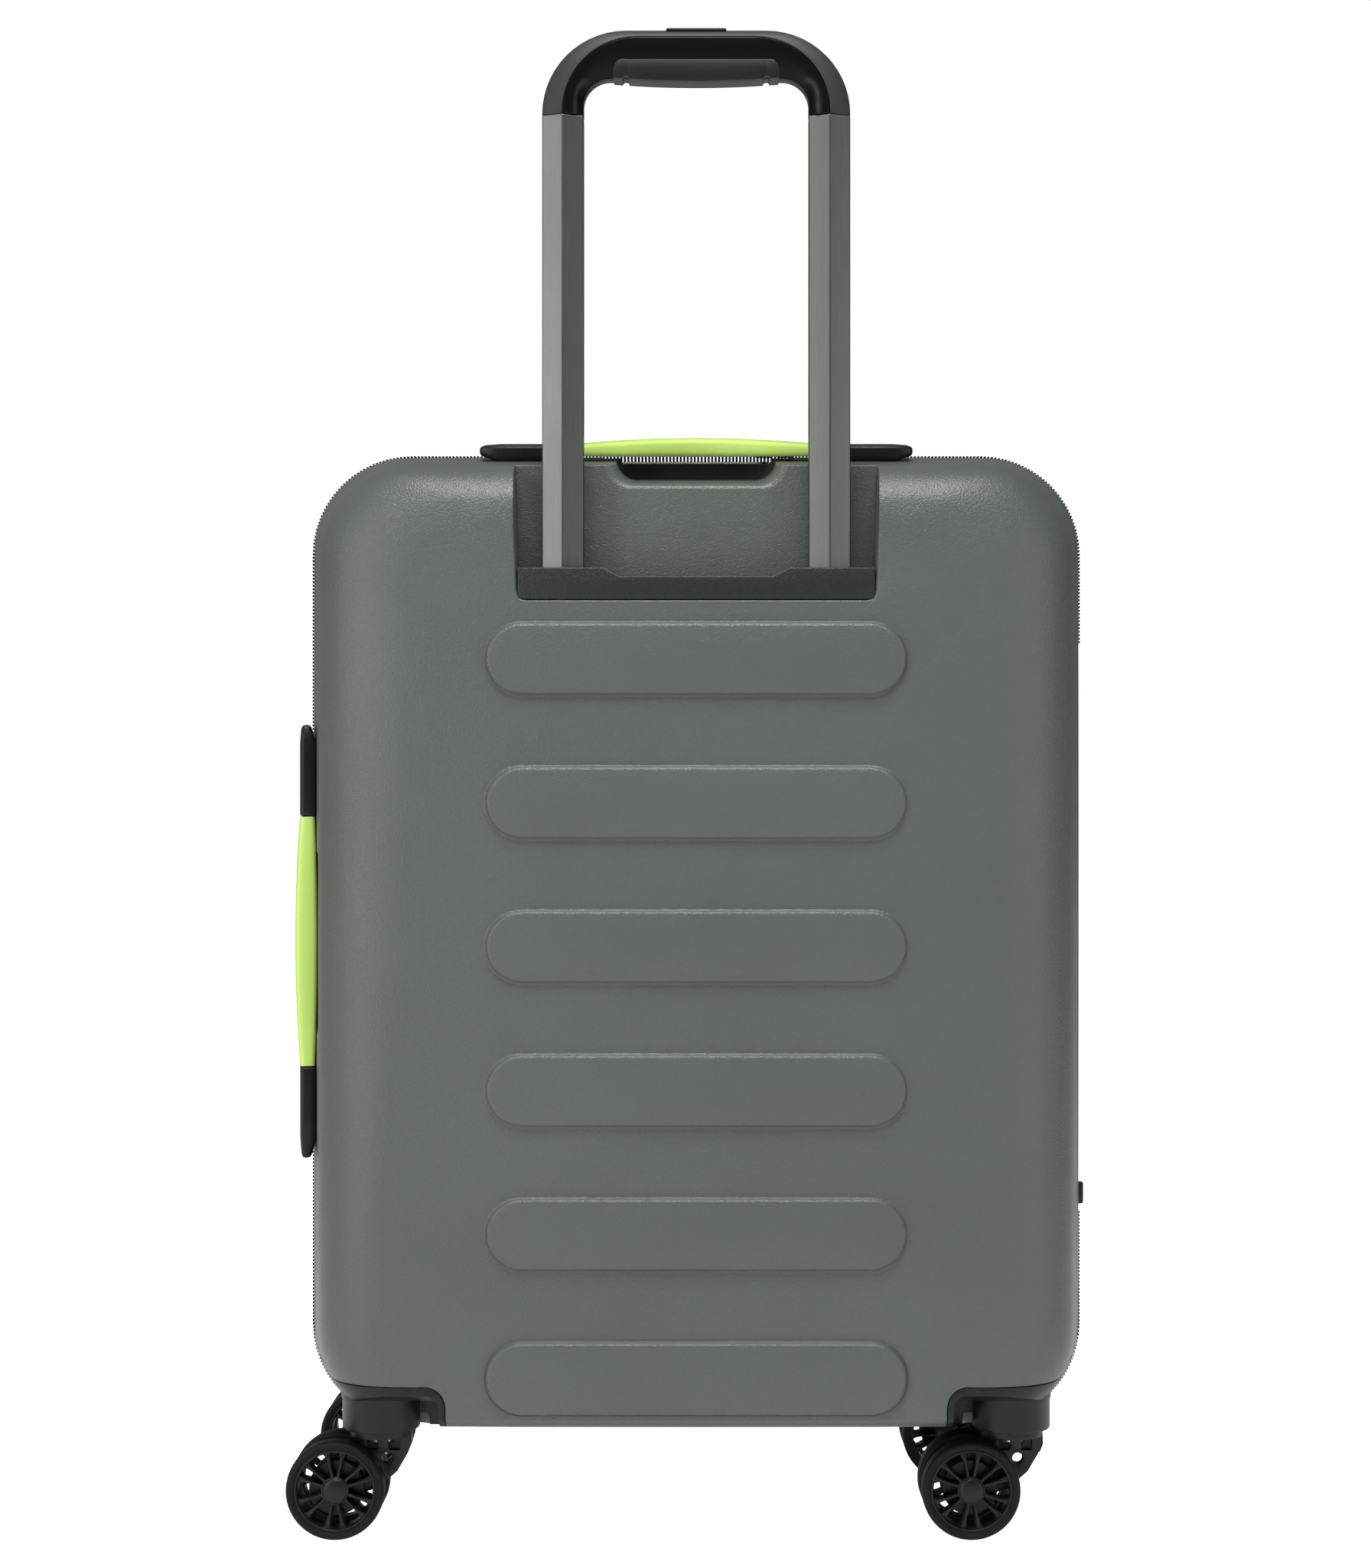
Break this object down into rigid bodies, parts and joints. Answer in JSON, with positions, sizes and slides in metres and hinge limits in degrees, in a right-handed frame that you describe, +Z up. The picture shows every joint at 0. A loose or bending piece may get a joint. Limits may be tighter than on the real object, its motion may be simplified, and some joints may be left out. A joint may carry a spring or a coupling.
{
  "type": "hard shell suitcase",
  "caption": "Cabin suitcase with two ribbed hard half shells, a telescopic pull handle, carry handles, a zip with a dial lock and swivelling twin-wheel casters.",
  "frame": {"origin": "on the floor, under the middle of the case, on the plane where the two half shells part", "axes": "+Z up, along the height; +Y from the half with the pull handle to the other half; +X towards the fabric hinge"},
  "size_m": [0.4039, 0.2, 0.7331],
  "materials": {
    "shell_green": "satin grey-green moulded shell with a fine grain",
    "lime_grip": "soft-touch lime rubber",
    "black_plastic": "moulded black plastic, slightly glossy",
    "grained_black": "grained black plastic",
    "grip_black": "black plastic, satin outside and glossy inside",
    "aluminium": "satin anodised tube",
    "steel": "plain zinc-plated steel",
    "slider_metal": "black-painted die casting",
    "tyre": "matt black polyurethane tread",
    "zip_black": "woven zip tape with a nylon coil",
    "lining_fabric": "woven polyester lining",
    "strap_webbing": "woven webbing"
  },
  "bodies": {
    "back_half": {"back_shell": "shell_green", "back_lining": "lining_fabric", "handle_bezel": "grained_black", "outer_tubes": "aluminium", "tube_foot": "black_plastic", "rear_kingpins": "steel", "rear_housing_screws": "steel", "back_zip_stringer": "zip_black", "hinge_gusset": "zip_black", "zip_end_tab": "black_plastic", "top_handle_ends": "black_plastic", "side_handle_ends": "black_plastic", "packing_straps": "strap_webbing", "bottom_feet": "black_plastic", "rear_left_housing": "black_plastic", "rear_right_housing": "black_plastic"},
    "middle_stage": {"middle_tubes": "aluminium"},
    "upper_stage": {"upper_tubes": "aluminium", "grip_body": "grip_black", "grip_insert": "grip_black"},
    "release": {"push_button": "grip_black", "push_rods": "aluminium"},
    "top_handle": {"top_handle_grip": "lime_grip"},
    "side_handle": {"side_handle_grip": "lime_grip"},
    "front_half": {"front_shell": "shell_green", "front_lining": "lining_fabric", "front_kingpins": "steel", "front_housing_screws": "steel", "front_zip_stringer": "zip_black", "zip_sliders": "slider_metal", "lock_case": "black_plastic", "front_left_housing": "black_plastic", "front_right_housing": "black_plastic"},
    "dial_1": {"lock_dial_1": "grip_black"},
    "dial_2": {"lock_dial_2": "grip_black"},
    "dial_3": {"lock_dial_3": "grip_black"},
    "rear_left_swivel": {"rear_left_fork": "black_plastic", "rear_left_axle": "steel"},
    "rear_left_outer_wheel": {"rear_left_outer_tyre": "tyre", "rear_left_outer_hub": "black_plastic"},
    "rear_left_inner_wheel": {"rear_left_inner_tyre": "tyre", "rear_left_inner_hub": "black_plastic"},
    "rear_right_swivel": {"rear_right_fork": "black_plastic", "rear_right_axle": "steel"},
    "rear_right_outer_wheel": {"rear_right_outer_tyre": "tyre", "rear_right_outer_hub": "black_plastic"},
    "rear_right_inner_wheel": {"rear_right_inner_tyre": "tyre", "rear_right_inner_hub": "black_plastic"},
    "front_left_swivel": {"front_left_fork": "black_plastic", "front_left_axle": "steel"},
    "front_left_outer_wheel": {"front_left_outer_tyre": "tyre", "front_left_outer_hub": "black_plastic"},
    "front_left_inner_wheel": {"front_left_inner_tyre": "tyre", "front_left_inner_hub": "black_plastic"},
    "front_right_swivel": {"front_right_fork": "black_plastic", "front_right_axle": "steel"},
    "front_right_outer_wheel": {"front_right_outer_tyre": "tyre", "front_right_outer_hub": "black_plastic"},
    "front_right_inner_wheel": {"front_right_inner_tyre": "tyre", "front_right_inner_hub": "black_plastic"}
  },
  "joints": [
    {"name": "shell_hinge", "type": "hinge", "parent": "back_half", "child": "front_half", "pos_m": [0.2005, 0, 0.2896], "axis": [0, 0, -1], "range_deg": [0, 180]},
    {"name": "middle_stage_slide", "type": "slide", "parent": "back_half", "child": "middle_stage", "axis": [0, 0, 1], "range_m": [0, 0.25]},
    {"name": "upper_stage_slide", "type": "slide", "parent": "middle_stage", "child": "upper_stage", "axis": [0, 0, 1], "range_m": [-0.2193, 0]},
    {"name": "button_press", "type": "slide", "parent": "upper_stage", "child": "release", "axis": [0, 0, -1], "range_m": [0, 0.003], "stiffness_N_per_m": 600, "springref_m": -0.005},
    {"name": "top_handle_lift", "type": "slide", "parent": "back_half", "child": "top_handle", "axis": [0, -0.1773, 0.9842], "range_m": [0, 0.008], "stiffness_N_per_m": 500, "springref_m": -0.003},
    {"name": "side_handle_lift", "type": "slide", "parent": "back_half", "child": "side_handle", "axis": [-0.9866, -0.1629, 0], "range_m": [0, 0.008], "stiffness_N_per_m": 500, "springref_m": -0.003},
    {"name": "dial_1_turn", "type": "hinge", "parent": "front_half", "child": "dial_1", "pos_m": [-0.018, 0.01808, 0.52856], "axis": [1, 0, 0], "continuous": true},
    {"name": "dial_2_turn", "type": "hinge", "parent": "front_half", "child": "dial_2", "pos_m": [-0.009, 0.01808, 0.52856], "axis": [1, 0, 0], "continuous": true},
    {"name": "dial_3_turn", "type": "hinge", "parent": "front_half", "child": "dial_3", "pos_m": [0, 0.01808, 0.52856], "axis": [1, 0, 0], "continuous": true},
    {"name": "rear_left_swivel", "type": "hinge", "parent": "back_half", "child": "rear_left_swivel", "pos_m": [-0.155, -0.062, 0.0505], "axis": [0, 0, 1], "continuous": true},
    {"name": "rear_left_outer_spin", "type": "hinge", "parent": "rear_left_swivel", "child": "rear_left_outer_wheel", "pos_m": [-0.176, -0.0735, 0.024], "axis": [0, 1, 0], "continuous": true},
    {"name": "rear_left_inner_spin", "type": "hinge", "parent": "rear_left_swivel", "child": "rear_left_inner_wheel", "pos_m": [-0.176, -0.0505, 0.024], "axis": [0, 1, 0], "continuous": true},
    {"name": "rear_right_swivel", "type": "hinge", "parent": "back_half", "child": "rear_right_swivel", "pos_m": [0.155, -0.062, 0.0505], "axis": [0, 0, 1], "continuous": true},
    {"name": "rear_right_outer_spin", "type": "hinge", "parent": "rear_right_swivel", "child": "rear_right_outer_wheel", "pos_m": [0.134, -0.0735, 0.024], "axis": [0, 1, 0], "continuous": true},
    {"name": "rear_right_inner_spin", "type": "hinge", "parent": "rear_right_swivel", "child": "rear_right_inner_wheel", "pos_m": [0.134, -0.0505, 0.024], "axis": [0, 1, 0], "continuous": true},
    {"name": "front_left_swivel", "type": "hinge", "parent": "front_half", "child": "front_left_swivel", "pos_m": [-0.155, 0.062, 0.0505], "axis": [0, 0, 1], "continuous": true},
    {"name": "front_left_outer_spin", "type": "hinge", "parent": "front_left_swivel", "child": "front_left_outer_wheel", "pos_m": [-0.176, 0.0735, 0.024], "axis": [0, 1, 0], "continuous": true},
    {"name": "front_left_inner_spin", "type": "hinge", "parent": "front_left_swivel", "child": "front_left_inner_wheel", "pos_m": [-0.176, 0.0505, 0.024], "axis": [0, 1, 0], "continuous": true},
    {"name": "front_right_swivel", "type": "hinge", "parent": "front_half", "child": "front_right_swivel", "pos_m": [0.155, 0.062, 0.0505], "axis": [0, 0, 1], "continuous": true},
    {"name": "front_right_outer_spin", "type": "hinge", "parent": "front_right_swivel", "child": "front_right_outer_wheel", "pos_m": [0.134, 0.0735, 0.024], "axis": [0, 1, 0], "continuous": true},
    {"name": "front_right_inner_spin", "type": "hinge", "parent": "front_right_swivel", "child": "front_right_inner_wheel", "pos_m": [0.134, 0.0505, 0.024], "axis": [0, 1, 0], "continuous": true}
  ]
}
